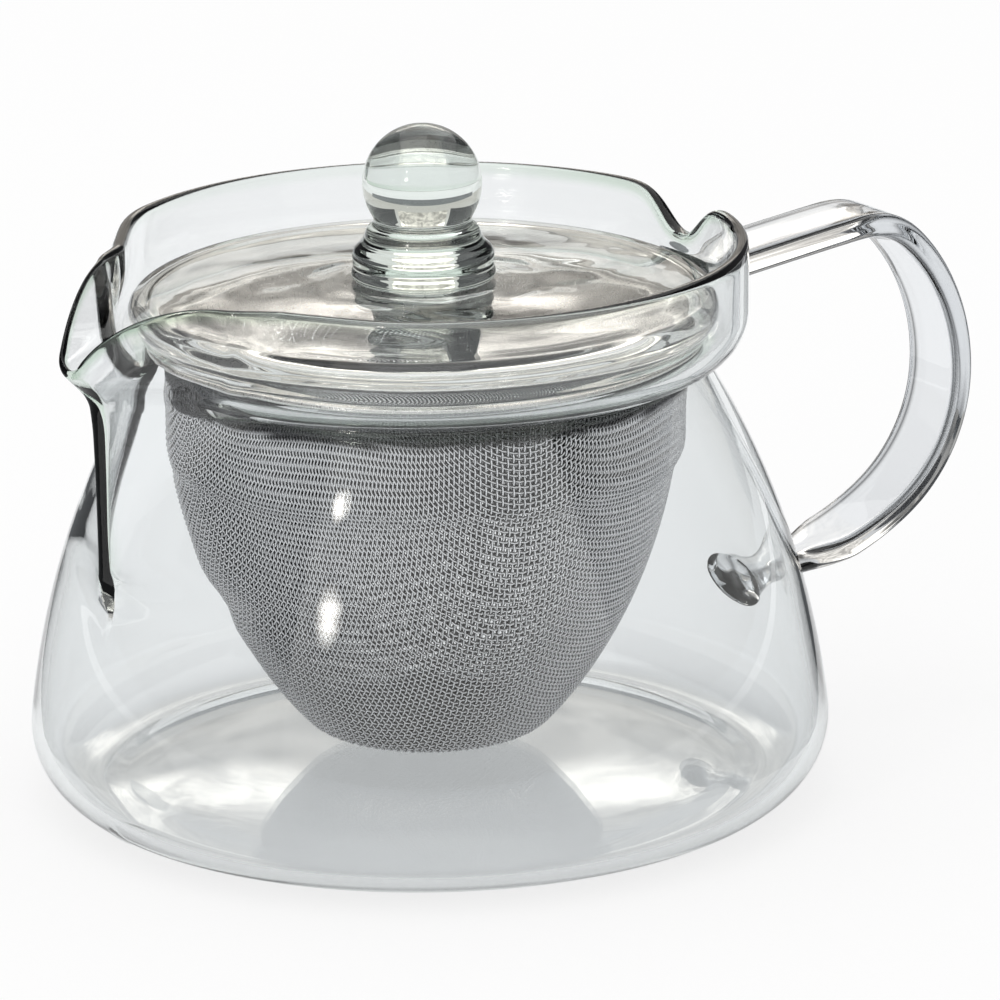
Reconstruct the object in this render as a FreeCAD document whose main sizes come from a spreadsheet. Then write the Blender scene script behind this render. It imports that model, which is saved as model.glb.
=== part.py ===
import FreeCAD, Part
import math
import os
import Sketcher
from collections import namedtuple

# Glass teapot with a lift-out strainer and a lift-off lid, in millimetres and degrees.
# +Z is up, +X points to the handle and -X to the spout.
# The origin is the middle of the flat base, where the pot stands.

SIZES = (
    # blown vessel
    ("wall", 2.2),
    ("belly_radius", 65.5),
    ("corner_radius", 12.0),
    ("wall_lean", 6.7),
    ("wall_arc_radius", 143.5),
    ("neck_bore_radius", 42.6),
    ("neck_height", 72.5),
    ("collar_overhang", 7.8),
    ("collar_height", 19.5),
    ("ledge_round", 1.2),
    ("bore_lip_drop", 0.55),
    # spout: a keel that grows out of the wall, flares to a lip and opens into the rim
    ("spout_nose_radius", 4.4),
    ("spout_foot_height", 34.0),
    ("spout_foot_inside_belly", 4.9),
    ("spout_foot_angle", 20.0),
    ("spout_throat_rise", 3.0),
    ("spout_throat_beyond_collar", 9.2),
    ("spout_throat_angle", 29.0),
    ("spout_lip_rise", 6.9),
    ("spout_lip_beyond_collar", 14.8),
    ("spout_lip_angle", 36.0),
    ("spout_rim_beyond_collar", 16.4),
    ("spout_rim_angle", 41.0),
    ("spout_root_reach", 30.0),
    ("lip_dip_run", 17.4),
    ("lip_dip_slack", 1.0),
    # dip in the rim above the handle
    ("notch_width", 25.0),
    ("notch_depth", 6.5),
    ("cutter_margin", 6.0),
    # handle: a flat drawn band
    ("handle_width", 14.0),
    ("handle_thickness", 4.0),
    ("handle_edge_round", 1.4),
    ("handle_beyond_belly", 38.3),
    ("handle_middle_drop", 17.5),
    ("handle_back_radius", 34.0),
    ("handle_shoulder_radius", 12.0),
    ("handle_lower_radius", 27.0),
    ("handle_foot_radius", 50.0),
    ("handle_top_slope", 7.0),
    ("handle_shoulder_turn", 46.0),
    ("handle_lower_turn", 58.0),
    ("handle_foot_turn", 84.0),
    # strainer: wire cloth cup with a doubled hem and a steel hoop
    ("seat_gap", 0.2),
    ("bore_clearance", 0.3),
    ("cloth_thickness", 0.4),
    ("hem_depth", 17.0),
    ("hem_step_height", 3.0),
    ("cup_step_in", 1.7),
    ("cup_foot_radius", 20.5),
    ("cup_foot_height", 12.0),
    ("cup_arc_radius", 85.0),
    ("cup_corner", 1.2),
    ("cup_corner_radius", 2.4),
    ("hoop_thickness", 0.5),
    ("hoop_depth", 8.0),
    ("flange_thickness", 0.8),
    ("flange_overlap", 2.6),
    # lid: a shallow hollow dish turned upside down
    ("lid_side_gap", 2.4),
    ("lid_wall", 2.2),
    ("lid_depth", 9.5),
    ("lid_edge_drop", 1.5),
    ("lid_shoulder_round", 3.0),
    ("lid_inner_round", 1.9),
    ("lid_crown_margin", 1.1),
    ("lid_foot_beyond_flange", 0.4),
    # knob: solid stem with two rings under a ball
    ("knob_ball_radius", 9.4),
    ("knob_ball_rise", 16.2),
    ("knob_foot_radius", 12.0),
    ("knob_foot_height", 3.6),
    ("knob_ring_radius", 10.4),
    ("knob_ring_height", 3.4),
    ("knob_waist_radius", 9.2),
    ("knob_neck_radius", 7.0),
    ("knob_neck_step", 1.1),
)

SHEET_NAME = "Sizes"
BULGE_OUT = 1
BULGE_IN = -1
QUARTER_TURN = 90
HALF_TURN = 180
FULL_TURN = 360
TOUCH = 1e-6

# The wall from the base up to the neck, and the turn from the neck out into the collar.
WallLine = namedtuple("WallLine", "base corner lean neck collar_turn collar_spring")


class Size:
    """A number together with the text that binds it to the sheet."""

    def __init__(self, value, text):
        self.value = float(value)
        self.text = text

    @staticmethod
    def of(thing):
        return thing if isinstance(thing, Size) else Size(thing, repr(float(thing)))

    def joined(self, sign, other, value):
        return Size(value, f"({self.text} {sign} {Size.of(other).text})")

    def __add__(self, other):
        return self.joined("+", other, self.value + Size.of(other).value)

    def __sub__(self, other):
        return self.joined("-", other, self.value - Size.of(other).value)

    def __mul__(self, other):
        return self.joined("*", other, self.value * Size.of(other).value)

    def __truediv__(self, other):
        return self.joined("/", other, self.value / Size.of(other).value)

    def __neg__(self):
        return Size(-self.value, f"(-1 * {self.text})")


def cosine(angle):
    return Size(math.cos(math.radians(angle.value)), f"cos({angle.text})")


def sine(angle):
    return Size(math.sin(math.radians(angle.value)), f"sin({angle.text})")


def tangent(angle):
    return Size(math.tan(math.radians(angle.value)), f"tan({angle.text})")


def root(size):
    return Size(math.sqrt(size.value), f"sqrt({size.text})")


def square(size):
    return size * size


class Sizes:
    """The sheet of driving sizes, read as attributes."""

    def __init__(self, doc):
        self.sheet = doc.addObject("Spreadsheet::Sheet", SHEET_NAME)
        for row, (alias, number) in enumerate(SIZES, start=1):
            self.sheet.set(f"A{row}", alias)
            self.sheet.set(f"B{row}", str(number))
            self.sheet.setAlias(f"B{row}", alias)
        doc.recompute()
        for alias, _ in SIZES:
            setattr(self, alias, Size(self.sheet.get(alias), f"{SHEET_NAME}.{alias}"))


class Corner:
    """One corner of an outline; the edge after it is straight or an arc of the given radius."""

    def __init__(self, across, along, radius=None, bulge=BULGE_OUT):
        self.across = Size.of(across)
        self.along = Size.of(along)
        self.radius = radius
        self.bulge = bulge

    def point(self):
        return FreeCAD.Vector(self.across.value, self.along.value, 0)


def arc_between(start, end, radius, bulge):
    """Arc of under a half circle that bulges to the right of the way from start to end."""
    middle = (start + end) / 2
    way = end - start
    half = way.Length / 2
    to_centre = FreeCAD.Vector(-way.y, way.x, 0).normalize() * bulge
    centre = middle + to_centre * math.sqrt(max(radius * radius - half * half, 0.0))
    first, last = (start, end) if bulge == BULGE_OUT else (end, start)
    angles = [math.atan2(p.y - centre.y, p.x - centre.x) for p in (first, last)]
    return Part.ArcOfCircle(Part.Circle(centre, FreeCAD.Vector(0, 0, 1), radius), *angles)


def add_sketch(body, name, plane_role, corners):
    """Adds a closed outline on one of the body's own planes, each corner tied to the sheet."""
    sketch = body.newObject("Sketcher::SketchObject", name)
    plane = next(p for p in body.Origin.OriginFeatures if p.Role == plane_role)
    sketch.AttachmentSupport = (plane, [""])
    sketch.MapMode = "FlatFace"
    starts = []
    ends = []
    for corner, following in zip(corners, corners[1:] + corners[:1]):
        start = corner.point()
        end = following.point()
        if corner.radius is None:
            index = sketch.addGeometry(Part.LineSegment(start, end), False)
            starts.append((index, 1))
            ends.append((index, 2))
        else:
            arc = arc_between(start, end, corner.radius.value, corner.bulge)
            index = sketch.addGeometry(arc, False)
            forward = corner.bulge == BULGE_OUT
            starts.append((index, 1 if forward else 2))
            ends.append((index, 2 if forward else 1))
    for place, corner in enumerate(corners):
        sketch.addConstraint(Sketcher.Constraint("Coincident", *ends[place - 1], *starts[place]))
        tie(sketch, "DistanceX", starts[place], corner.across, -2)
        tie(sketch, "DistanceY", starts[place], corner.along, -1)
        if corner.radius is not None:
            index = sketch.addConstraint(Sketcher.Constraint("Radius", starts[place][0], corner.radius.value))
            sketch.setExpression(f"Constraints[{index}]", corner.radius.text)
    return sketch


def tie(sketch, kind, vertex, size, axis):
    """Ties one coordinate of a corner to the sheet, or holds it on the sketch's axis."""
    if size.value == 0.0:
        sketch.addConstraint(Sketcher.Constraint("PointOnObject", *vertex, axis))
        return
    origin = (-1, 1)
    order = (origin, vertex) if size.value > 0 else (vertex, origin)
    size = size if size.value > 0 else -size
    index = sketch.addConstraint(Sketcher.Constraint(kind, *order[0], *order[1], size.value))
    sketch.setExpression(f"Constraints[{index}]", size.text)


def add_turned(doc, name, corners):
    """Body turned about the upright axis from an outline of radius and height."""
    body = doc.addObject("PartDesign::Body", name)
    sketch = add_sketch(body, f"{name}_outline", "XZ_Plane", corners)
    turned = body.newObject("PartDesign::Revolution", f"{name}_turned")
    turned.Profile = sketch
    turned.ReferenceAxis = (sketch, ["V_Axis"])
    turned.Angle = FULL_TURN
    return body


def add_extruded(doc, name, plane_role, corners, length, symmetric):
    """Body extruded from an outline, either both ways or along the plane's normal."""
    body = doc.addObject("PartDesign::Body", name)
    sketch = add_sketch(body, f"{name}_outline", plane_role, corners)
    pad = body.newObject("PartDesign::Pad", f"{name}_pad")
    pad.Profile = sketch
    pad.SideType = "Symmetric" if symmetric else "One side"
    pad.Length = length.value
    pad.setExpression("Length", length.text)
    return body


def cut(doc, name, base, tool):
    """What is left of one shape where the other is taken away."""
    result = doc.addObject("Part::Cut", name)
    result.Base = base
    result.Tool = tool
    return result


def fused(doc, name, shapes):
    """Several shapes made one."""
    result = doc.addObject("Part::MultiFuse", name)
    result.Shapes = shapes
    return result


def collar_radius(s):
    """Outside of the upright collar."""
    return s.neck_bore_radius + s.wall + s.collar_overhang


def rim_height(s):
    """Top of the collar."""
    return s.neck_height + s.collar_height


def vessel_outline(s, inset):
    """Right half of the vessel from base to rim, moved inwards by the inset."""
    corner = s.corner_radius - inset
    corner_centre = s.belly_radius - s.corner_radius
    neck = s.neck_bore_radius + s.wall
    collar_turn = s.collar_overhang
    lean = Corner(
        corner_centre + corner * cosine(s.wall_lean),
        s.corner_radius + corner * sine(s.wall_lean),
        s.wall_arc_radius - inset,
    )
    return WallLine(
        base=Corner(0, inset),
        corner=Corner(corner_centre, inset, corner),
        lean=lean,
        neck=neck,
        collar_turn=collar_turn - inset,
        collar_spring=s.neck_height + collar_turn,
    )


def vessel_envelope(doc, s):
    """Everything inside the outer glass surface, without the spout."""
    line = vessel_outline(s, Size.of(0))
    outline = [
        line.base,
        line.corner,
        line.lean,
        Corner(line.neck, s.neck_height, line.collar_turn),
        Corner(collar_radius(s), line.collar_spring),
        Corner(collar_radius(s), rim_height(s)),
        Corner(0, rim_height(s)),
    ]
    return add_turned(doc, "vessel_envelope", outline)


def vessel_hollow(doc, s):
    """The space inside the glass, open through the rim, with a ledge at the neck."""
    line = vessel_outline(s, s.wall)
    ledge = s.neck_height + s.wall
    bore_foot = s.neck_height - s.bore_lip_drop
    mouth = rim_height(s) + s.cutter_margin
    inside = collar_radius(s) - s.wall
    outline = [
        line.base,
        line.corner,
        line.lean,
        Corner(s.neck_bore_radius, bore_foot),
        Corner(s.neck_bore_radius, ledge - s.ledge_round, s.ledge_round, BULGE_IN),
        Corner(s.neck_bore_radius + s.ledge_round, ledge),
        Corner(line.neck, ledge, line.collar_turn),
        Corner(inside, line.collar_spring),
        Corner(inside, mouth),
        Corner(0, mouth),
    ]
    return add_turned(doc, "vessel_hollow", outline)


def keel_section(s, reach, angle, inset):
    """Level cut of the spout: a rounded nose with two straight flanks, drawn with the nose at +X."""
    nose = s.spout_nose_radius - inset
    centre = reach - s.spout_nose_radius
    touch_across = centre + nose * sine(angle)
    touch_along = nose * cosine(angle)
    root_along = touch_along + (touch_across - s.spout_root_reach) * tangent(angle)
    return [
        Corner(touch_across, -touch_along, nose),
        Corner(touch_across, touch_along),
        Corner(s.spout_root_reach, root_along),
        Corner(s.spout_root_reach, -root_along),
    ]


def spout_form(doc, s, name, inset, top_margin):
    """Spout as a loft of level cuts from its foot on the wall up to the rim."""
    body = doc.addObject("PartDesign::Body", name)
    collar = collar_radius(s)
    cuts = (
        (s.spout_foot_height, s.belly_radius - s.spout_foot_inside_belly, s.spout_foot_angle),
        (s.neck_height + s.spout_throat_rise, collar + s.spout_throat_beyond_collar, s.spout_throat_angle),
        (s.neck_height + s.spout_lip_rise, collar + s.spout_lip_beyond_collar, s.spout_lip_angle),
        (rim_height(s) + top_margin, collar + s.spout_rim_beyond_collar, s.spout_rim_angle),
    )
    sketches = []
    for number, (height, reach, angle) in enumerate(cuts):
        sketch = add_sketch(body, f"{name}_cut_{number}", "XY_Plane", keel_section(s, reach, angle, inset))
        half_turn = FreeCAD.Rotation(FreeCAD.Vector(0, 0, 1), HALF_TURN)
        sketch.AttachmentOffset = FreeCAD.Placement(FreeCAD.Vector(0, 0, height.value), half_turn)
        sketch.setExpression("AttachmentOffset.Base.z", height.text)
        sketches.append(sketch)
    loft = body.newObject("PartDesign::AdditiveLoft", f"{name}_loft")
    loft.Profile = sketches[0]
    loft.Sections = sketches[1:]
    loft.Ruled = True
    return body


def lip_cutter(doc, s):
    """Takes the rim away in a falling curve, so that the spout ends in a drooping lip."""
    far = collar_radius(s) + s.spout_rim_beyond_collar + s.cutter_margin
    top = rim_height(s) + s.cutter_margin
    lip_reach = collar_radius(s) + s.spout_lip_beyond_collar
    start = lip_reach - s.lip_dip_run
    radius = s.lip_dip_run + s.lip_dip_slack
    lip_height = rim_height(s) - radius + root(square(radius) - square(s.lip_dip_run))
    outline = [
        Corner(-start, top),
        Corner(-far, top),
        Corner(-far, lip_height),
        Corner(-lip_reach, lip_height, radius, BULGE_IN),
        Corner(-start, rim_height(s)),
    ]
    width = collar_radius(s) * 2
    return add_extruded(doc, "lip_cutter", "XZ_Plane", outline, width, True)


def notch_cutter(doc, s):
    """Takes a shallow dip out of the rim above the handle."""
    half = s.notch_width / 2
    radius = (square(half) + square(s.notch_depth)) / (s.notch_depth * 2)
    rim = rim_height(s)
    top = rim + s.cutter_margin
    outline = [
        Corner(-half, top),
        Corner(-half, rim, radius),
        Corner(half, rim),
        Corner(half, top),
    ]
    reach = collar_radius(s) + s.cutter_margin
    return add_extruded(doc, "notch_cutter", "YZ_Plane", outline, reach, False)


def pot_body(doc, s, envelope):
    """Blown vessel: belly, neck, collar and spout in one wall of glass."""
    no_inset = Size.of(0)
    keel = spout_form(doc, s, "spout_keel", no_inset, no_inset)
    channel = spout_form(doc, s, "spout_channel", s.wall, s.cutter_margin)
    outer = fused(doc, "outer_form", [envelope, keel])
    inner = fused(doc, "inner_form", [vessel_hollow(doc, s), channel])
    glass = cut(doc, "open_vessel", outer, inner)
    poured = cut(doc, "vessel_with_lip", glass, lip_cutter(doc, s))
    return cut(doc, "pot_body", poured, notch_cutter(doc, s))


def handle_line(s, offset):
    """Corners of one side of the band, from the collar round the back to the lower wall."""
    top_angle = s.handle_top_slope + QUARTER_TURN
    handle_reach = s.belly_radius + s.handle_beyond_belly
    middle = s.neck_height - s.handle_middle_drop
    angles = (top_angle, s.handle_shoulder_turn, Size.of(0), -s.handle_lower_turn, -s.handle_foot_turn)
    back_centre = (handle_reach - s.handle_back_radius, middle)
    lower_centre = (handle_reach - s.handle_lower_radius, middle)
    shoulder_step = s.handle_back_radius - s.handle_shoulder_radius
    shoulder_centre = (
        back_centre[0] + shoulder_step * cosine(s.handle_shoulder_turn),
        back_centre[1] + shoulder_step * sine(s.handle_shoulder_turn),
    )
    foot_step = s.handle_foot_radius - s.handle_lower_radius
    foot_centre = (
        lower_centre[0] - foot_step * cosine(s.handle_lower_turn),
        lower_centre[1] + foot_step * sine(s.handle_lower_turn),
    )
    arcs = (
        (shoulder_centre, s.handle_shoulder_radius),
        (back_centre, s.handle_back_radius),
        (lower_centre, s.handle_lower_radius),
        (foot_centre, s.handle_foot_radius),
    )
    corners = []
    for (centre, radius), angle in zip(arcs, angles):
        reach = radius + offset
        corners.append((centre[0] + reach * cosine(angle), centre[1] + reach * sine(angle), reach))
    centre, radius = arcs[-1]
    reach = radius + offset
    corners.append((centre[0] + reach * cosine(angles[-1]), centre[1] + reach * sine(angles[-1]), None))
    inside = s.neck_bore_radius
    rise = (corners[0][0] - inside) * tangent(s.handle_top_slope)
    corners.insert(0, (inside, corners[0][1] - rise, None))
    foot_slope = Size.of(QUARTER_TURN) - s.handle_foot_turn
    fall = (corners[-1][0] - inside) * tangent(foot_slope)
    corners.append((inside, corners[-1][1] - fall, None))
    return corners


def pot_handle(doc, s, envelope):
    """Flat glass band, welded to the collar above and to the wall below."""
    half = s.handle_thickness / 2
    outer = handle_line(s, half)
    inner = handle_line(s, -half)
    outline = [Corner(across, along, radius, BULGE_IN) for across, along, radius in outer]
    back = list(reversed(inner))
    radii = [entry[2] for entry in back[1:]] + [None]
    outline += [Corner(entry[0], entry[1], radius) for entry, radius in zip(back, radii)]
    band = add_extruded(doc, "handle_band", "XZ_Plane", outline, s.handle_width, True)
    doc.recompute()
    pad = band.Tip
    half_width = s.handle_width.value / 2
    long_edges = [
        f"Edge{number}"
        for number, edge in enumerate(pad.Shape.Edges, start=1)
        if all(math.isclose(abs(v.Y), half_width, abs_tol=TOUCH) for v in edge.Vertexes)
        and math.isclose(edge.BoundBox.YLength, 0, abs_tol=TOUCH)
        and edge.BoundBox.XMax > s.neck_bore_radius.value + s.wall.value
    ]
    rounding = band.newObject("PartDesign::Fillet", "handle_rounding")
    rounding.Base = (pad, long_edges)
    rounding.Radius = s.handle_edge_round.value
    rounding.setExpression("Radius", s.handle_edge_round.text)
    return cut(doc, "pot_handle", band, envelope)


def hem_radius(s):
    """Outside of the doubled hem, which passes the neck with a small clearance."""
    return s.neck_bore_radius - s.bore_clearance


def flange_seat(s):
    """Height of the hoop's underside, just over the ledge."""
    return s.neck_height + s.wall + s.seat_gap


def flange_radius(s):
    """Outside of the hoop's flange."""
    return s.neck_bore_radius + s.flange_overlap


def lid_foot(s):
    """Height of the lid's foot, just over the flange."""
    return flange_seat(s) + s.flange_thickness + s.seat_gap


def lid_top(s):
    """Height of the lid under the knob."""
    return lid_foot(s) + s.lid_depth


def strainer_mesh(doc, s):
    """Wire cloth cup as a thin shell: straight hem, a small step, a curved side and a flat foot."""
    outer = hem_radius(s)
    inner = outer - s.cloth_thickness
    top = flange_seat(s)
    hem_foot = top - s.hem_depth
    cup_top = hem_foot - s.hem_step_height
    cup_outer = outer - s.cup_step_in
    cup_inner = cup_outer - s.cloth_thickness
    foot = s.cup_foot_height - s.cup_corner
    outline = [
        Corner(0, foot),
        Corner(s.cup_foot_radius - s.cup_corner, foot, s.cup_corner_radius),
        Corner(s.cup_foot_radius, s.cup_foot_height, s.cup_arc_radius),
        Corner(cup_outer, cup_top),
        Corner(outer, hem_foot),
        Corner(outer, top),
        Corner(inner, top),
        Corner(inner, hem_foot),
        Corner(cup_inner, cup_top, s.cup_arc_radius, BULGE_IN),
        Corner(s.cup_foot_radius - s.cloth_thickness, s.cup_foot_height + s.cloth_thickness / 2),
        Corner(s.cup_foot_radius - s.cup_corner - s.cloth_thickness, foot + s.cloth_thickness),
        Corner(0, foot + s.cloth_thickness),
    ]
    return add_turned(doc, "strainer_mesh", outline)


def strainer_rim(doc, s):
    """Steel hoop: a sleeve inside the hem and a flange that hangs on the ledge."""
    sleeve_outer = hem_radius(s) - s.cloth_thickness
    sleeve_inner = sleeve_outer - s.hoop_thickness
    seat = flange_seat(s)
    top = seat + s.flange_thickness
    flange = flange_radius(s)
    outline = [
        Corner(sleeve_inner, seat - s.hoop_depth),
        Corner(sleeve_outer, seat - s.hoop_depth),
        Corner(sleeve_outer, seat),
        Corner(flange, seat),
        Corner(flange, top),
        Corner(sleeve_inner, top),
    ]
    return add_turned(doc, "strainer_rim", outline)


def lid_plate(doc, s):
    """Shallow dish turned upside down: a low dome, a rounded shoulder and a skirt on the hoop."""
    foot = lid_foot(s)
    foot_radius = flange_radius(s) + s.lid_foot_beyond_flange
    crown = s.knob_foot_radius + s.lid_crown_margin
    top = lid_top(s)
    edge = top - s.lid_edge_drop
    shoulder = edge - s.lid_shoulder_round
    under = top - s.lid_wall
    outer = collar_radius(s) - s.wall - s.lid_side_gap
    inner = outer - s.lid_wall
    inner_edge = edge - s.lid_wall
    outline = [
        Corner(0, under),
        Corner(crown, under),
        Corner(inner - s.lid_inner_round, inner_edge, s.lid_inner_round, BULGE_IN),
        Corner(inner, inner_edge - s.lid_inner_round),
        Corner(foot_radius - s.lid_wall, foot),
        Corner(foot_radius, foot),
        Corner(outer, shoulder, s.lid_shoulder_round),
        Corner(outer - s.lid_shoulder_round, edge),
        Corner(crown, top),
        Corner(0, top),
    ]
    return add_turned(doc, "lid_plate", outline)


def lid_knob(doc, s):
    """Solid knob: a ringed stem with a flat foot and a ball on top."""
    foot = lid_top(s)
    ring_foot = foot + s.knob_foot_height
    ring_top = ring_foot + s.knob_ring_height
    ball = foot + s.knob_ball_rise
    neck = ball - root(square(s.knob_ball_radius) - square(s.knob_neck_radius))
    outline = [
        Corner(0, foot),
        Corner(s.knob_foot_radius, foot, s.knob_foot_height),
        Corner(s.knob_waist_radius, ring_foot),
        Corner(s.knob_ring_radius, ring_foot, s.knob_ring_height),
        Corner(s.knob_neck_radius + s.knob_neck_step, ring_top),
        Corner(s.knob_neck_radius, neck, s.knob_ball_radius),
        Corner(s.knob_ball_radius, ball, s.knob_ball_radius),
        Corner(0, ball + s.knob_ball_radius),
    ]
    return add_turned(doc, "lid_knob", outline)


def check(doc, nodes):
    """Stops the build if any object failed or any sub-part is empty or broken."""
    for item in doc.Objects:
        if "Invalid" in item.State or "Error" in item.State:
            raise RuntimeError(f"{item.Name} failed: {item.State}")
    for node in nodes:
        if node.Shape.isNull() or not node.Shape.isValid() or not node.Shape.Solids:
            raise RuntimeError(f"{node.Label} is empty or broken")


def build():
    """Makes the six sub-parts, checks them and writes each to its own file."""
    doc = FreeCAD.newDocument("teapot")
    s = Sizes(doc)
    envelope = vessel_envelope(doc, s)
    nodes = [
        pot_body(doc, s, envelope),
        pot_handle(doc, s, envelope),
        strainer_mesh(doc, s),
        strainer_rim(doc, s),
        lid_plate(doc, s),
        lid_knob(doc, s),
    ]
    doc.recompute()
    check(doc, nodes)
    os.makedirs("parts", exist_ok=True)
    for node in nodes:
        box = node.Shape.BoundBox
        print(f"{node.Label}: {len(node.Shape.Solids)} solid, {node.Shape.Volume:.1f} mm3,",
              f"x {box.XMin:.2f} to {box.XMax:.2f}, y {box.YMin:.2f} to {box.YMax:.2f},",
              f"z {box.ZMin:.2f} to {box.ZMax:.2f}")
        node.Shape.exportStep(f"parts/{node.Label}.step")


build()
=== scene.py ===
import logging
import math
from dataclasses import dataclass, field
from enum import Enum

import bpy
import numpy as np
from mathutils import Matrix, Vector


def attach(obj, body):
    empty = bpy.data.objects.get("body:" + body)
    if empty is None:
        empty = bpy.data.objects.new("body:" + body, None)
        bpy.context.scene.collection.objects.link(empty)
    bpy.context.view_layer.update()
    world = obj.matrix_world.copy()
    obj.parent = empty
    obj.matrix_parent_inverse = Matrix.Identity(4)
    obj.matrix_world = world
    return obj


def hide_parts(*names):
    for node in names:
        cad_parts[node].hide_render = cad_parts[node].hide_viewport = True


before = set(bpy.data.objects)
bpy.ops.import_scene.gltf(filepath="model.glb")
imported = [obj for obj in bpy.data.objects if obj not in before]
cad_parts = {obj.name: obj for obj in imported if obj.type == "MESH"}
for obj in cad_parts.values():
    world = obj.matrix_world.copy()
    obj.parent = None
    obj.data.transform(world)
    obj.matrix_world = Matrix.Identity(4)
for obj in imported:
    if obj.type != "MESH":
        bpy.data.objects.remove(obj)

LOG = logging.getLogger("teapot")
MM = 0.001
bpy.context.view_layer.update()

Point = tuple[float, float]
Place = tuple[float, float, float]
Colour = tuple[float, float, float, float]
Array = np.ndarray
Net = tuple[Array, Array, Array]
Waves = tuple[tuple[float, float, float, float], ...]
Socket = bpy.types.NodeSocket
Material = bpy.types.Material
WHITE: Colour = (1.0, 1.0, 1.0, 1.0)


class Body(Enum):
    """The three things that come apart in the hand."""

    POT = "pot"
    STRAINER = "strainer"
    LID = "lid"


class Slot(Enum):
    """Material slots of the record."""

    POT_GLASS = "pot_glass"
    HANDLE_GLASS = "handle_glass"
    LID_GLASS = "lid_glass"
    KNOB_GLASS = "knob_glass"
    WIRE_CLOTH = "wire_cloth"
    HOOP_STEEL = "hoop_steel"


def smooth_step(low: float, high: float, value: Array) -> Array:
    """Rises from 0 at low to 1 at high with level ends: 3t^2 - 2t^3."""
    share = np.clip((value - low) / (high - low), 0.0, 1.0)
    return share * share * (3.0 - 2.0 * share)


def bell(value: Array, width: float, power: float = 2.0) -> Array:
    """Falls from 1 at 0 to both sides: exp(-|v / w|^p)."""
    return np.exp(-(np.abs(value / width) ** power))


def between(rise: Point, fall: Point, value: Array) -> Array:
    """1 between two values and 0 outside them, rising over one span and falling over the other."""
    return smooth_step(*rise, value) * (1.0 - smooth_step(*fall, value))


def ripples(waves: Waves, angle: Array, along: Array) -> Array:
    """Sum of waves h sin(n t + v / r + p), each given as height h, turns n, rise r and shift p."""
    return sum(size * np.sin(turns * angle + along / rise + shift) for size, turns, rise, shift in waves)


def soft_max(first: Array, second: Array, width: Array) -> Array:
    """Larger of two, blended where they are near: max(a, b) + w h^2 / 4, h = max(1 - |a - b| / w, 0)."""
    share = np.maximum(1.0 - np.abs(first - second) / width, 0.0)
    return np.maximum(first, second) + width * share * share / 4.0


def arc(centre: Point, radius: float, start: float, end: float, count: int) -> Array:
    """Points of a circle between two angles in degrees, both included: c + r (cos a, sin a)."""
    angle = np.radians(np.linspace(start, end, count))
    return np.stack([centre[0] + radius * np.cos(angle), centre[1] + radius * np.sin(angle)], axis=1)


def run(start: Point, end: Point, count: int) -> Array:
    """Points of a straight run, both ends included."""
    return np.linspace(np.array(start), np.array(end), count)


def bulge(start: Point, end: Point, radius: float) -> Array:
    """Arc from one point to another that stands out to the right of the way between them.

    Args:
        start: first point, across and up.
        end: last point.
        radius: the arc's radius.

    Returns:
        300 by 2: points of the circle through both ends whose centre lies to the left.
    """
    first, last = np.array(start), np.array(end)
    half = np.linalg.norm(last - first) / 2.0
    way = (last - first) / (2.0 * half)
    centre = (first + last) / 2.0 + np.array([-way[1], way[0]]) * math.sqrt(radius**2 - half**2)
    turns = [math.degrees(math.atan2(*(point - centre)[::-1])) for point in (first, last)]
    return arc(tuple(centre), radius, turns[0], turns[1], 300)


def joined(pieces: list[Array], loop: bool = False) -> Array:
    """Sets runs and arcs end to end and drops points that repeat.

    Args:
        pieces: runs of points, each starting where the one before ends.
        loop: whether the last point goes too if it repeats the first.

    Returns:
        One run of points.
    """
    line = np.concatenate(pieces)
    line = line[np.concatenate([[True], np.linalg.norm(np.diff(line, axis=0), axis=1) > 1e-6])]
    return line[:-1] if loop and np.linalg.norm(line[0] - line[-1]) < 1e-6 else line


def lengths(line: Array) -> Array:
    """Length of a run from its start to each of its points."""
    return np.concatenate([[0.0], np.cumsum(np.linalg.norm(np.diff(line, axis=0), axis=1))])


def headings(line: Array) -> Array:
    """Unit direction of a run at each of its points."""
    way = np.gradient(line, axis=0)
    return way / np.linalg.norm(way, axis=1, keepdims=True)


def eased(line: Array, reach: float, count: int) -> Array:
    """Softens the corners of a run: each point becomes a weighted mean of those within reach, ends kept.

    Args:
        line: points, across and up.
        reach: half-width of the weights along the run.
        count: number of points in the result, evenly apart.

    Returns:
        count by 2: sum of w(s - t) p(t), with w a bell of that reach.
    """
    steps = lengths(line)
    place = np.linspace(0.0, steps[-1], count)
    even = np.stack([np.interp(place, steps, line[:, axis]) for axis in range(2)], axis=1)
    spread = np.minimum(reach, np.minimum(place, steps[-1] - place) / 2.0 + 1e-9)
    weight = np.exp(-0.5 * ((place[:, None] - place[None, :]) / spread[:, None]) ** 2)
    return (weight / weight.sum(axis=1, keepdims=True)) @ even


def full_turn(count: int) -> Array:
    """Even steps once round, in radians."""
    return np.linspace(0.0, 2.0 * math.pi, count, endpoint=False)


def spun(radius: Array | float, height: Array, angle: Array | float) -> Array:
    """Points about the upright axis: (r cos t, r sin t, z)."""
    sides = np.broadcast_arrays(radius * np.cos(angle), radius * np.sin(angle), height)
    return np.stack(sides, axis=-1)


def placed(name: str, data: bpy.types.ID) -> bpy.types.Object:
    """Adds an object to the scene.

    Args:
        name: its name.
        data: its mesh, lamp or camera.

    Returns:
        The object.
    """
    thing = bpy.data.objects.new(name, data)
    bpy.context.scene.collection.objects.link(thing)
    return thing


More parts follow.
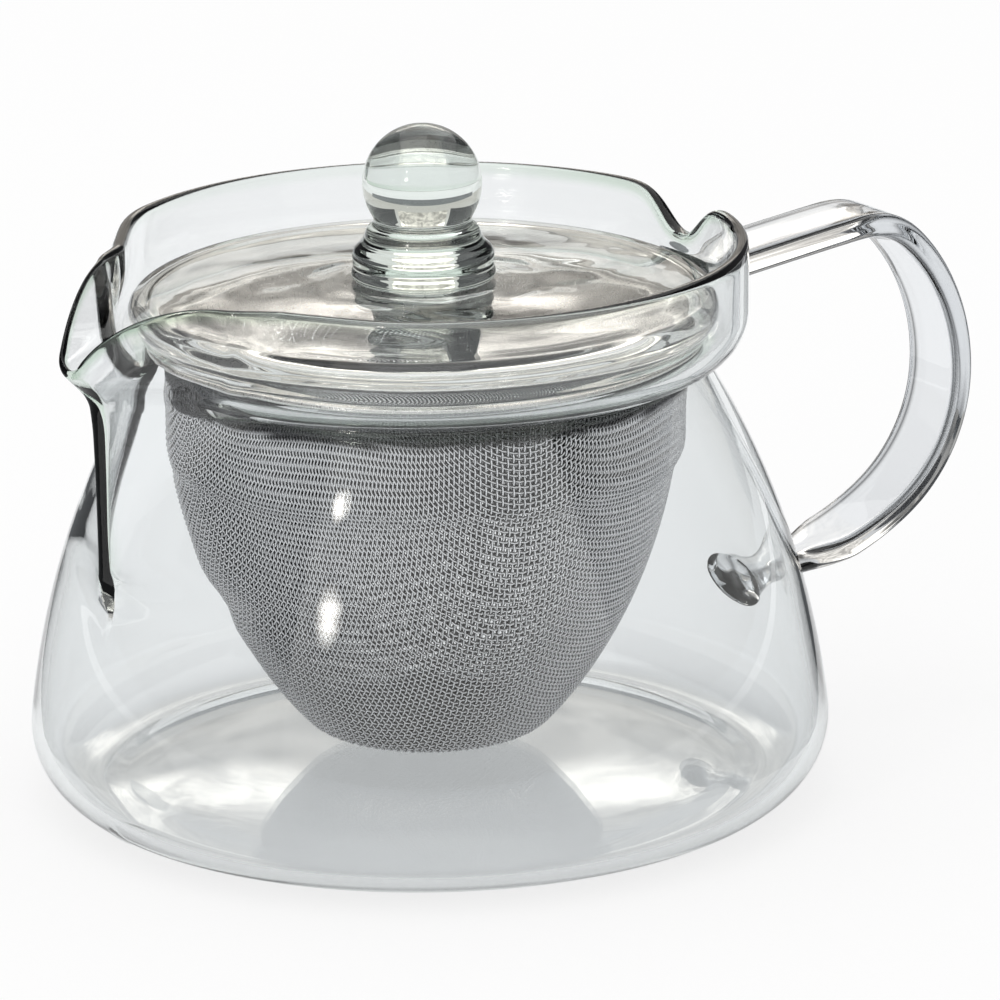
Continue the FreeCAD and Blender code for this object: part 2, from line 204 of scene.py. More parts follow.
@dataclass
class Skin:
    """Vertices in millimetres and the faces between them, gathered before they become a mesh."""

    points: list[Array] = field(default_factory=list)
    quads: list[Array] = field(default_factory=list)
    triangles: list[Array] = field(default_factory=list)
    marks: dict[str, list[Array]] = field(default_factory=dict)
    count: int = 0

    def add_points(self, points: Array, **marks: Array) -> Array:
        """Adds vertices.

        Args:
            points: array whose last axis is x, y, z.
            marks: by attribute name, one value per vertex for a finish to read.

        Returns:
            The vertices' numbers, in the same layout.
        """
        flat = points.reshape(-1, 3)
        numbers = np.arange(self.count, self.count + len(flat)).reshape(points.shape[:-1])
        self.points.append(flat)
        self.count += len(flat)
        for name, values in marks.items():
            self.marks.setdefault(name, []).append(np.ravel(values))
        return numbers

    def add_sheet(self, numbers: Array, close_rows: bool = False) -> None:
        """Adds the quads of a grid of vertices whose last column meets the first.

        Args:
            numbers: rows by columns of vertex numbers.
            close_rows: whether the last row meets the first as well.
        """
        grid = np.concatenate([numbers, numbers[:1]]) if close_rows else numbers
        grid = np.concatenate([grid, grid[:, :1]], axis=1)
        quads = np.stack([grid[:-1, :-1], grid[:-1, 1:], grid[1:, 1:], grid[1:, :-1]], axis=-1)
        self.quads.append(quads.reshape(-1, 4))

    def add_tube(self, sheet: Array, tips: Array, **marks: Array) -> None:
        """Adds a grid closed round its columns, with fans from its end rows to two tips.

        Args:
            sheet: rows by columns of points.
            tips: the points that close the first and the last row.
            marks: by attribute name, the grid's values; the tips get 0.
        """
        numbers = self.add_points(sheet, **marks)
        first, last = self.add_points(tips, **{name: np.zeros(2) for name in marks})
        self.add_sheet(numbers)
        low, high = numbers[0], numbers[-1]
        self.triangles.append(np.stack([np.roll(low, -1), low, np.full_like(low, first)], axis=1))
        self.triangles.append(np.stack([high, np.roll(high, -1), np.full_like(high, last)], axis=1))

    def to_object(self, name: str) -> bpy.types.Object:
        """Makes the mesh object in metres, smooth, with its place in its vertices.

        Args:
            name: the piece's name.

        Returns:
            The object, in the scene.
        """
        mesh = bpy.data.meshes.new(name)
        points = np.concatenate(self.points) * MM
        quads = np.concatenate([np.zeros((0, 4), int), *self.quads])
        triangles = np.concatenate([np.zeros((0, 3), int), *self.triangles])
        corners = np.concatenate([quads.ravel(), triangles.ravel()])
        totals = np.concatenate([np.full(len(quads), 4), np.full(len(triangles), 3)])
        starts = np.concatenate([[0], np.cumsum(totals)[:-1]])
        mesh.vertices.add(len(points))
        mesh.vertices.foreach_set("co", points.astype(np.float32).ravel())
        mesh.loops.add(len(corners))
        mesh.loops.foreach_set("vertex_index", corners.astype(np.int32))
        mesh.polygons.add(len(totals))
        mesh.polygons.foreach_set("loop_start", starts.astype(np.int32))
        mesh.polygons.foreach_set("use_smooth", np.ones(len(totals), bool))
        mesh.update(calc_edges=True)
        mesh.validate()
        for mark, values in self.marks.items():
            layer = mesh.attributes.new(mark, "FLOAT", "POINT")
            layer.data.foreach_set("value", np.concatenate(values).astype(np.float32))
        return placed(name, mesh)


def turned(line: Array, around: int, ripple: Array | float = 0.0) -> Skin:
    """Surface turned about the upright axis, closed at both poles.

    Args:
        line: points of radius and height, the first and the last on the axis.
        around: number of steps round.
        ripple: height added to the points between, rows by columns.

    Returns:
        The skin.
    """
    skin = Skin()
    body = spun(line[1:-1, :1], line[1:-1, 1:] + ripple, full_turn(around))
    skin.add_tube(body, spun(0.0, line[[0, -1], 1], 0.0))
    return skin


class NodeBoard:
    """The node tree of a material or a world, with short ways to add and join nodes."""

    def __init__(self, owner: Material | bpy.types.World) -> None:
        """Empties a tree and adds its output.

        Args:
            owner: the material or world that has the tree.
        """
        owner.use_nodes = True
        self.owner, self.tree = owner, owner.node_tree
        self.tree.nodes.clear()
        kind = "World" if isinstance(owner, bpy.types.World) else "Material"
        self.output = self.tree.nodes.new(f"ShaderNodeOutput{kind}")

    def feed(self, socket: Socket, value: object) -> None:
        """Links an output to an input, or sets the input's own value.

        Args:
            socket: the input.
            value: another node's output, or a constant.
        """
        if isinstance(value, Socket):
            self.tree.links.new(value, socket)
        else:
            socket.default_value = value

    def add(self, kind: str, *ordered: object, out: int | str = 0, **named: object) -> Socket:
        """Adds a node and feeds it.

        Args:
            kind: Blender's node type without its ShaderNode.
            ordered: values or outputs for the first inputs.
            out: the output that is wanted.
            named: values or outputs by input name, with spaces as underscores, or properties.

        Returns:
            That output.
        """
        node = self.tree.nodes.new(f"ShaderNode{kind}")
        for key, value in named.items():
            socket = node.inputs.get(key.replace("_", " "))
            if socket is None:
                setattr(node, key, value)
            else:
                self.feed(socket, value)
        for socket, value in zip(node.inputs, ordered):
            self.feed(socket, value)
        return node.outputs[out]

    def noise(self, **sizes: float) -> Socket:
        """Noise on Object coordinates, with its sockets by name."""
        return self.add("TexNoise", out="Fac", Vector=self.add("TexCoord", out="Object"), **sizes)

    def mark(self, name: str) -> Socket:
        """Value of a vertex attribute, 0 where the mesh has none."""
        return self.add("Attribute", out="Fac", attribute_name=name)

    def ray(self, kind: str) -> Socket:
        """1 for Camera, Glossy or Transmission rays, as named, and 0 for others."""
        return self.add("LightPath", out=f"Is {kind} Ray")

    def product(self, first: object, second: object) -> Socket:
        """One number times another."""
        return self.add("Math", first, second, operation="MULTIPLY")

    def larger(self, first: object, second: object) -> Socket:
        """The larger of two numbers."""
        return self.add("Math", first, second, operation="MAXIMUM")

    def mixed(self, share: Socket, first: object, second: object) -> Socket:
        """Blends two colours.

        Args:
            share: 0 for the first colour to 1 for the second.
            first: one colour.
            second: the other.

        Returns:
            The blend.
        """
        tone = self.add("Mix", share, out=2, data_type="RGBA")
        self.feed(tone.node.inputs[6], first)
        self.feed(tone.node.inputs[7], second)
        return tone

    def finish(self, surface: Socket, volume: Socket | None = None) -> bpy.types.ID:
        """Joins the shaders to the output.

        Args:
            surface: what the surface does.
            volume: what the inside does, if anything.

        Returns:
            The tree's owner.
        """
        self.feed(self.output.inputs["Surface"], surface)
        if volume is not None:
            self.feed(self.output.inputs["Volume"], volume)
        return self.owner


def material_board(name: str) -> NodeBoard:
    """Starts a new material of that name."""
    return NodeBoard(bpy.data.materials.new(name))


@dataclass(frozen=True)
class GlassFinish:
    """Clear glass with a faint ripple, slightly uneven polish, depth of colour and a painted tint where
    the edge mark is set.
    """

    name: str
    tint: Colour = (0.955, 0.962, 0.968, 1.0)
    # edge: painted colour standing in for how the glass looks seen edge-on, mixed in by the edge mark
    edge: Colour = (0.60, 0.72, 0.61, 1.0)
    index: float = 1.47
    absorb: Colour = (0.42, 0.72, 0.52, 1.0)
    density: float = 8.0
    ripple_scale: float = 38.0
    ripple: float = 0.05
    ripple_depth: float = 0.001
    roughest: float = 0.004

    def material(self) -> Material:
        """Builds the finish: Object noise drives ripple and polish, the edge mark the painted edge tint.

        Returns:
            The material.
        """
        board = material_board(self.name)
        waves = board.noise(Scale=self.ripple_scale, Detail=1.5, Roughness=0.4)
        glass = board.add(
            "BsdfPrincipled",
            # painted edge tint: the edge mark mixes the edge colour into the base colour
            Base_Color=board.mixed(board.mark("edge"), self.tint, self.edge),
            Roughness=board.add("MapRange", waves, 0.35, 0.75, 0.0, self.roughest),
            IOR=self.index,
            Normal=board.add("Bump", Strength=self.ripple, Distance=self.ripple_depth, Height=waves),
            Transmission_Weight=1.0,
        )
        depth = board.add("VolumeAbsorption", Color=self.absorb, Density=self.density)
        return board.finish(glass, depth)


@dataclass(frozen=True)
class SteelFinish:
    """Stainless steel: bare metal with uneven brightness and polish, and painted shade where it is
    marked inside.
    """

    name: str
    dark: Colour
    light: Colour
    # inside: colour of the painted shade on the inner and side faces of the wires
    inside: Colour = (0.05, 0.05, 0.053, 1.0)
    rough_low: float = 0.22
    rough_high: float = 0.42
    broad_scale: float = 37.5
    fine_scale: float = 1800.0
    grain: float = 0.08
    grain_depth: float = 0.0002

    def material(self) -> Material:
        """Builds the finish: Object noise drives colour and polish, the inside mark paints shade.

        Returns:
            The material.
        """
        board = material_board(self.name)
        fine = board.noise(Scale=self.fine_scale, Detail=2.0)
        shade = board.mixed(board.noise(Scale=self.broad_scale, Detail=3.0), self.dark, self.light)
        return board.finish(board.add(
            "BsdfPrincipled",
            # painted shade: the inside mark blends towards the inside colour
            Base_Color=board.mixed(board.mark("inside"), shade, self.inside),
            Metallic=1.0,
            Roughness=board.add("MapRange", fine, 0.3, 0.7, self.rough_low, self.rough_high),
            Normal=board.add("Bump", Strength=self.grain, Distance=self.grain_depth, Height=fine),
        ))


POT_GLASS = GlassFinish("pot_glass")
# handle glass: its near-black edge colour is painted shade on the band's round edges
HANDLE_GLASS = GlassFinish("handle_glass", edge=(0.03, 0.033, 0.036, 1.0),
                           absorb=(0.58, 0.62, 0.66, 1.0), density=32.0, ripple=0.03)
LID_GLASS = GlassFinish("lid_glass", tint=(0.95, 0.952, 0.945, 1.0), ripple=0.22, ripple_scale=60.0)
KNOB_GLASS = GlassFinish("knob_glass", tint=(0.96, 0.962, 0.958, 1.0), density=10.0, ripple=0.015)
WIRE_STEEL = SteelFinish("wire_steel", (0.80, 0.80, 0.815, 1.0), (0.96, 0.96, 0.975, 1.0),
                         rough_low=0.16, rough_high=0.30)
HOOP_STEEL = SteelFinish("hoop_steel", (0.70, 0.69, 0.68, 1.0), (0.86, 0.85, 0.84, 1.0))


def settle(skin: Skin, name: str, body: Body, material: Material, node: str) -> None:
    """Makes a finished surface into a piece, dresses it and sets it on its body.

    Args:
        skin: the surface.
        name: the piece's name.
        body: what it moves with.
        material: its finish.
        node: the CAD node that it stands for.
    """
    piece = skin.to_object(name)
    piece.data.materials.append(material)
    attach(piece, body.value)
    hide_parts(node)
    LOG.info("%s: %d faces on %s", piece.name, len(piece.data.polygons), body.value)


@dataclass(frozen=True)
class Keel:
    """Level cuts of the spout at rising heights: a narrow round nose and flanks back to the wall."""

    heights: tuple[float, ...]
    reaches: tuple[float, ...]
    angles: tuple[float, ...]
    noses: tuple[float, ...]
    steady: float = 1.6
    half_turn: float = 75.0
    blend: float = 3.0
    blend_more: float = 0.6
    neck_zone: Point = (68.0, 80.0)

    def size_at(self, sizes: tuple[float, ...], height: Array) -> Array:
        """Reads one size of the cuts at each height, as the mean of nine between z - w and z + w."""
        shifts = np.linspace(-self.steady, self.steady, 9)
        return sum(np.interp(height + shift, self.heights, sizes) for shift in shifts) / len(shifts)

    def beak(self, off: Array, height: Array) -> Array:
        """Radius of the beak about the pot's axis.

        Args:
            off: angle from the spout's middle, in radians.
            height: height of each point.

        Returns:
            On the nose c cos d + sqrt(p^2 - c^2 sin^2 d), on the flank (c sin a + p) / sin(a + d), where
            c is the nose's centre, p its radius, a the flank's angle and d the angle off.
        """
        angle = np.radians(self.size_at(self.angles, height))
        nose = self.size_at(self.noses, height)
        centre = self.size_at(self.reaches, height) - nose
        side = np.abs(off)
        touch = np.arctan2(nose * np.cos(angle), centre + nose * np.sin(angle))
        depth = np.maximum(nose**2 - (centre * np.sin(side)) ** 2, 0.0)
        round_end = centre * np.cos(side) + np.sqrt(depth)
        flank = (centre * np.sin(angle) + nose) / np.sin(np.minimum(angle + side, math.pi / 2.0))
        beak = np.where(side < touch, round_end, flank)
        return np.where(side < math.radians(self.half_turn), beak, 0.0)

    def radius(self, off: Array, height: Array, plain: Array) -> Array:
        """Radius of wall and beak together, blended more widely below the neck."""
        width = self.blend * (1.0 + self.blend_more * (1.0 - smooth_step(*self.neck_zone, height)))
        return soft_max(plain, self.beak(off, height), width)


@dataclass
class Pot:
    """Blown vessel with collar, spout and a dip in the rim over the handle. Millimetres and degrees."""

    wall: float = 2.2
    belly: float = 65.5
    corner: float = 12.0
    lean: float = 6.7
    wall_arc: float = 143.5
    bore: float = 42.6
    neck_height: float = 72.5
    overhang: float = 7.8
    ledge_round: float = 1.2
    bore_lead: float = 0.55
    rim: float = 92.0
    floor: float = 2.2
    dome: float = 4.6
    outer_keel: Keel = Keel((38.5, 42.5, 50.0, 62.0, 70.0, 75.0, 80.2, 92.0),
                            (57.0, 61.4, 61.4, 61.5, 61.7, 62.2, 67.2, 69.0),
                            (66.0, 64.0, 54.0, 42.0, 38.0, 37.0, 37.0, 41.0),
                            (1.5, 1.5, 1.5, 1.6, 1.8, 2.6, 4.3, 4.4))
    inner_keel: Keel = Keel((42.0, 46.0, 52.0, 62.0, 70.0, 75.0, 80.2, 92.0),
                            (55.0, 59.0, 59.4, 59.5, 59.6, 60.4, 66.2, 68.25),
                            (66.0, 62.0, 52.0, 42.0, 38.0, 37.0, 37.0, 41.0),
                            (0.4, 0.5, 0.5, 0.5, 0.8, 1.6, 3.7, 4.1))
    dip_start: float = 50.0
    dip_radius: float = 18.4
    notch_depth: float = 6.5
    notch_half: float = 7.4
    pinch: float = 2.3
    pinch_heights: Point = (77.0, 88.0)
    pinch_rise: Point = (22.0, 32.0)
    pinch_fall: Point = (36.0, 60.0)
    draw_height: float = 81.0
    draw_least: float = 4.0
    bend_weight: float = 7.0
    weld_height: float = 24.0
    weld_radius: float = 60.0
    weld_squash: float = 0.85
    waves: Waves = ((0.05, 3.0, 17.0, 0.0), (0.04, 7.0, -11.0, 1.3), (0.03, 5.0, 7.0, 0.4))
    wave_rise: Point = (10.0, 18.0)
    thick_rise: Point = (80.0, 86.0)
    fold_rise: Point = (43.0, 48.0)
    fold_fall: Point = (76.0, 80.0)
    fold_half: float = 0.06
    neck_mark: float = 73.0
    neck_fall: Point = (47.5, 49.5)
    outer_rows: int = 88
    inner_rows: int = 82
    floor_rows: int = 14
    lip_rows: int = 11
    around: int = 480

    @property
    def neck(self) -> float:
        """Outside radius of the neck."""
        return self.bore + self.wall

    @property
    def collar(self) -> float:
        """Outside radius of the collar."""
        return self.neck + self.overhang

    @property
    def spring(self) -> float:
        """Height at which the collar turns upright."""
        return self.neck_height + self.overhang

    def wall_runs(self, inset: float, neck: Point, count: int) -> list[Array]:
        """Base corner and bulging belly up to the neck, of the surface that far inside the outer one."""
        corner = arc((self.belly - self.corner, self.corner), self.corner - inset,
                     -90.0, self.lean, count)
        return [corner, bulge(tuple(corner[-1]), neck, self.wall_arc - inset)]

    def outer_run(self) -> Array:
        """Outer surface from the edge of the base to the rim, as radius and height."""
        return eased(joined([
            *self.wall_runs(0.0, (self.neck, self.neck_height), 80),
            arc((self.neck, self.spring), self.overhang, -90.0, 0.0, 80),
            run((self.collar, self.spring), (self.collar, self.rim), 60),
        ]), 0.55, 1200)

    def inner_run(self) -> Array:
        """Inner surface from the edge of the floor to the rim, with the ledge at the neck.

        Returns:
            Points of radius and height.
        """
        bore, turn, ledge = self.bore, self.ledge_round, self.neck_height + self.wall
        start, side = self.neck_height - self.bore_lead, self.collar - self.wall
        return eased(joined([
            *self.wall_runs(self.wall, (bore, start), 60),
            run((bore, start), (bore, ledge - turn), 10),
            arc((bore + turn, ledge - turn), turn, 180.0, 90.0, 20),
            run((bore + turn, ledge), (self.neck, ledge), 10),
            arc((self.neck, self.spring), self.overhang - self.wall, -90.0, 0.0, 60),
            run((side, self.spring), (side, self.rim), 60),
        ]), 0.45, 1200)

    def angles(self) -> Array:
        """Steps round the pot, closest together at the spout and, less so, at the handle.

        Returns:
            Angles that share out evenly a density with bells at both.
        """
        even = np.linspace(-math.pi, math.pi, 20001)
        spout = math.pi - np.abs(even)
        density = 1.0 + 4.5 * bell(spout, 0.34) + 2.0 * bell(even, 0.30) + 16.0 * bell(spout, 0.045)
        total = np.concatenate([[0.0], np.cumsum((density[1:] + density[:-1]) / 2.0)])
        return np.interp(np.linspace(0.0, total[-1], self.around, endpoint=False), total, even)

    def radius_at(self, line: Array, keel: Keel, off: Array, height: Array) -> Array:
        """Radius of one glass surface: turned wall and keel blended, less the pinch beside the spout.

        Args:
            line: the turned run of that surface.
            keel: the fold of that surface.
            off: angle from the spout's middle.
            height: height of each point.

        Returns:
            The radius at each point.
        """
        steep = line[:, 1] + np.linspace(0.0, 1e-6, len(line))
        both = keel.radius(off, height, np.interp(height, steep, line[:, 0]))
        side = np.degrees(np.abs(off))
        beside = between(self.pinch_rise, self.pinch_fall, side)
        return both - self.pinch * beside * smooth_step(*self.pinch_heights, height)

    def rim_at(self, line: Array, off: Array) -> Array:
        """Height of the rim: level, falling along an arc to the lip, and dipped over the handle.

        Args:
            line: the outer turned run.
            off: angle from the spout's middle.

        Returns:
            The height at which each upright line of the surface meets the falling curve, by halving.
        """
        low, high = np.full_like(off, 70.0), np.full_like(off, self.rim)
        for _ in range(40):
            middle = (low + high) / 2.0
            along = self.radius_at(line, self.outer_keel, off, middle) * np.cos(off)
            fall = np.clip(along - self.dip_start, 0.0, self.dip_radius - 0.01)
            over = middle > self.rim - self.dip_radius + np.sqrt(self.dip_radius**2 - fall**2)
            low, high = np.where(over, low, middle), np.where(over, middle, high)
        dip = self.notch_depth * bell(self.collar * np.sin(off), self.notch_half, 2.4)
        return low - np.where(np.cos(off) < 0.0, dip, 0.0)

    def heights(self, line: Array, count: int, rim: Array) -> Array:
        """Heights of the rows, closer where the run bends, the top ones drawn down with the rim.

        Args:
            line: a turned run.
            count: number of rows.
            rim: rim height round the pot.

        Returns:
            rows by columns: unchanged below c, and above it c + (z - c)(rim - c) / (top - c).
        """
        step = np.diff(line, axis=0)
        heading = np.unwrap(np.arctan2(step[:, 1], step[:, 0]))
        bend = np.abs(np.diff(heading, prepend=heading[0]))
        cost = np.linalg.norm(step, axis=1) + self.bend_weight * bend
        total = np.concatenate([[0.0], np.cumsum(cost)])
        picks = np.interp(np.linspace(0.0, total[-1], count), total, np.arange(len(line)))
        height = line[np.unique(np.rint(picks).astype(int)), 1][:, None]
        start = np.minimum(self.draw_height, rim - self.draw_least)[None, :]
        drawn = start + (height - start) * (rim[None, :] - start) / (line[-1, 1] - start)
        return np.where(height > start, drawn, height)

    def unevenness(self, angle: Array, height: Array) -> Array:
        """Swell of the inner surface: slow waves, the weld of the handle's foot and a thick rim dip.

        Args:
            angle: angle round the pot.
            height: height of each point.

        Returns:
            How far the surface stands inwards.
        """
        swell = ripples(self.waves, angle, height) * smooth_step(*self.wave_rise, height)
        rise = (height - self.weld_height) * self.weld_squash
        away = np.hypot(self.weld_radius * np.sin(angle), rise)
        weld = 0.5 * bell(away, 4.2, 4.0) - 0.35 * bell(away, 2.2)
        thick = 1.3 * bell(angle, 0.21) * smooth_step(*self.thick_rise, height)
        return swell + np.where(np.cos(angle) > 0.0, weld + thick, 0.0)

    def painted_edge_tint(self, off: Array, below: Array, radius: Array, height: Array) -> Array:
        """Painted green tint where the glass is seen edge-on and looks green: lip, neck and the nose of
        the fold.

        Args:
            off: angle from the spout's middle.
            below: how far each point lies below the rim.
            radius: radius of each point.
            height: height of each point.

        Returns:
            0.25 to 0.9 at the lip, most at spout and handle, falling as a bell of 0.7 mm; 0.9 round the
            neck, as a bell of 0.9 mm; and 1 as a bell of 1.2 mm behind the nose of the fold.
        """
        lip = (0.25 + 0.65 * np.cos(off) ** 4) * bell(below, 0.7)
        neck = 0.9 * bell(height - self.neck_mark, 0.9) * (1.0 - smooth_step(*self.neck_fall, radius))
        behind = self.outer_keel.size_at(self.outer_keel.reaches, height) - radius
        nose = bell(behind, 1.2) * (np.abs(off) < self.fold_half)
        return np.maximum(np.maximum(lip, neck), nose * between(self.fold_rise, self.fold_fall, height))

    def disc(self, edge: float, level: float) -> tuple[Array, Array]:
        """Rows of the base or floor, pushed up in the middle: radius r, height z + d (1 - (r / e)^4)."""
        row = np.linspace(np.full(self.around, 2.0), edge, self.floor_rows, endpoint=False)
        return row, level + self.dome * (1.0 - (row / edge) ** 4)

    def vessel(self) -> Skin:
        """Outer surface, rounded lip and inner surface as one closed skin.

        Returns:
            The skin: for each angle t (R cos t, R sin t, z) up the outside, over and down the inside.
        """
        angle = self.angles()
        off = np.where(angle > 0.0, angle - math.pi, angle + math.pi)
        outer, inner = self.outer_run(), self.inner_run()
        lip = self.wall / 2.0
        rim = self.rim_at(outer, off) - lip
        out_height = self.heights(outer, self.outer_rows, rim)
        in_height = self.heights(inner, self.inner_rows, rim)
        out_radius = self.radius_at(outer, self.outer_keel, off[None, :], out_height)
        in_radius = self.radius_at(inner, self.inner_keel, off[None, :], in_height)
        in_radius = in_radius - self.unevenness(angle[None, :], in_height)
        turn = np.radians(np.linspace(0.0, 180.0, self.lip_rows)[1:-1])[:, None]
        middle, half = (out_radius[-1] + in_radius[-1]) / 2.0, (out_radius[-1] - in_radius[-1]) / 2.0
        base_radius, base_height = self.disc(outer[0, 0], 0.0)
        floor_radius, floor_height = self.disc(inner[0, 0], self.floor)
        radius = np.concatenate([
            base_radius, out_radius, middle + half * np.cos(turn), in_radius[::-1], floor_radius[::-1],
        ])
        height = np.concatenate([
            base_height, out_height, rim + lip * np.sin(turn), in_height[::-1], floor_height[::-1],
        ])
        # painted green edge tint at lip, neck and fold, standing in for the colour of glass seen edge-on
        marks = self.painted_edge_tint(off[None, :], np.maximum(rim - height, 0.0), radius, height)
        poles = spun(0.0, np.array([self.dome, self.floor + self.dome]), 0.0)
        skin = Skin()
        skin.add_tube(spun(radius, height, angle), poles, edge=marks)
        return skin

    def build(self) -> None:
        """Makes and dresses the vessel."""
        settle(self.vessel(), "glass_vessel", Body.POT, POT_GLASS.material(), "pot_body")


@dataclass
class Handle:
    """Flat band of drawn glass from the collar round to the lower wall. Millimetres and degrees."""

    width: float = 14.0
    thickness: float = 4.0
    edge: float = 1.3
    crown: float = 0.16
    reach: float = 103.5
    middle: float = 55.0
    back: float = 34.0
    shoulder: float = 12.0
    lower: float = 27.0
    foot: float = 50.0
    slope: float = 7.0
    shoulder_turn: float = 46.0
    lower_turn: float = 58.0
    foot_turn: float = 84.0
    top_end: float = 51.4
    foot_end: float = 62.9
    sunk: float = 0.35
    # shares by which width and thickness grow at the upper weld, above the foot and in the foot's pad
    top_growth: Point = (0.14, 0.55)
    foot_growth: Point = (-0.36, 0.15)
    pad_growth: Point = (0.46, 1.00)
    top_length: float = 5.0
    foot_lengths: Point = (7.0, 19.0)
    pad_length: float = 8.0
    pad_power: float = 1.6
    wave: float = 0.16
    wave_length: float = 9.0
    pot: Pot = field(default_factory=Pot)

    def centre_line(self) -> Array:
        """Middle of the band in the plane of spout and handle: a run, four arcs and a run, eased.

        Returns:
            Points of distance from the axis and height.
        """
        back = np.array([self.reach - self.back, self.middle])
        lower = np.array([self.reach - self.lower, self.middle])
        turn, fall = math.radians(self.shoulder_turn), math.radians(self.lower_turn)
        high = back + (self.back - self.shoulder) * np.array([math.cos(turn), math.sin(turn)])
        low = lower - (self.foot - self.lower) * np.array([math.cos(fall), -math.sin(fall)])
        arcs = [
            arc(tuple(high), self.shoulder, 90.0 + self.slope, self.shoulder_turn, 80),
            arc(tuple(back), self.back, self.shoulder_turn, 0.0, 160),
            arc(tuple(lower), self.lower, 0.0, -self.lower_turn, 160),
            arc(tuple(low), self.foot, -self.lower_turn, -self.foot_turn, 120),
        ]
        first, last = arcs[0][0], arcs[-1][-1]
        start = (self.top_end, first[1] - (first[0] - self.top_end) * math.tan(math.radians(self.slope)))
        down = math.tan(math.radians(90.0 - self.foot_turn))
        end = (self.foot_end, last[1] - (last[0] - self.foot_end) * down)
        return eased(joined([run(start, tuple(first), 80), *arcs, run(tuple(last), end, 40)]), 2.0, 260)

    def section(self) -> Array:
        """Cut through the band: a rectangle with round edges, across and out, slightly crowned.

        Returns:
            Points in order round the cut.
        """
        half, thick, edge = self.width / 2.0, self.thickness / 2.0, self.edge
        x, y = half - edge, thick - edge
        line = joined([
            run((half, 0.0), (half, y), 3),
            arc((x, y), edge, 0.0, 90.0, 7),
            run((x, thick), (-x, thick), 13),
            arc((-x, y), edge, 90.0, 180.0, 7),
            run((-half, y), (-half, -y), 4),
            arc((-x, -y), edge, 180.0, 270.0, 7),
            run((-x, -thick), (x, -thick), 13),
            arc((x, -y), edge, 270.0, 360.0, 7),
        ], True)
        crown = self.crown * (1.0 - (line[:, 0] / half) ** 2) * np.sign(line[:, 1])
        return np.stack([line[:, 0], line[:, 1] + crown * (np.abs(line[:, 1]) > thick - 0.1)], axis=1)

    def painted_dark_edge_marks(self, cut: Array) -> Array:
        """Painted shade where the band's round edges look dark: bells of 0.5 mm about the middles of
        their arcs.
        """
        middle = np.array([self.width, self.thickness]) / 2.0 - self.edge * (1.0 - math.sqrt(0.5))
        return bell(np.linalg.norm(np.abs(cut) - middle, axis=1), 0.5)

    def band(self) -> Skin:
        """Carries the section along the middle line: thicker at the top, an oval flared at the foot.

        Returns:
            The skin: p(s) + across * y + out(s) * n(s), no further in than just under the pot's surface.
        """
        line, cut = self.centre_line(), self.section()
        way, length = headings(line), lengths(line)
        out = np.stack([-way[:, 1], way[:, 0]], axis=1)
        near_top = 1.0 - smooth_step(0.0, self.top_length, length)[:, None, None]
        left = (length[-1] - length)[:, None, None]
        near_foot = 1.0 - smooth_step(*self.foot_lengths, left)
        pad = (1.0 - np.clip(left / self.pad_length, 0.0, 1.0)) ** self.pad_power
        half = np.array([self.width, self.thickness]) / 2.0
        turn = np.arctan2(cut[:, 1] / half[1], cut[:, 0] / half[0])
        oval = np.stack([np.cos(turn), np.sin(turn)], axis=1) * half
        growth = 1.0 + near_top * self.top_growth + near_foot * self.foot_growth + pad * self.pad_growth
        across, lift = np.moveaxis((cut + (oval - cut) * near_foot) * growth, -1, 0)
        wave = self.wave * np.sin(length / self.wave_length)[:, None] * np.cos(cut[None, :, 0] / 5.0)
        lift = lift + wave * (np.abs(cut[None, :, 1]) > 0.5)
        sheet = np.stack([line[:, :1] + out[:, :1] * lift, across, line[:, 1:] + out[:, 1:] * lift], -1)
        glass = self.pot.outer_run()
        least = np.interp(sheet[..., 2], glass[:, 1], glass[:, 0]) - self.sunk
        least = np.sqrt(np.maximum(least**2 - sheet[..., 1] ** 2, 0.0))
        sheet[..., 0] = np.maximum(sheet[..., 0], least)
        # painted shade: dark lines on the band's round edges
        marks = np.repeat(self.painted_dark_edge_marks(cut)[None, :], len(line), axis=0)
        skin = Skin()
        skin.add_tube(sheet, sheet[[0, -1]].mean(axis=1), edge=marks)
        return skin

    def build(self) -> None:
        """Makes and dresses the band."""
        finish = HANDLE_GLASS.material()
        settle(self.band(), "glass_handle", Body.POT, finish, "pot_handle")


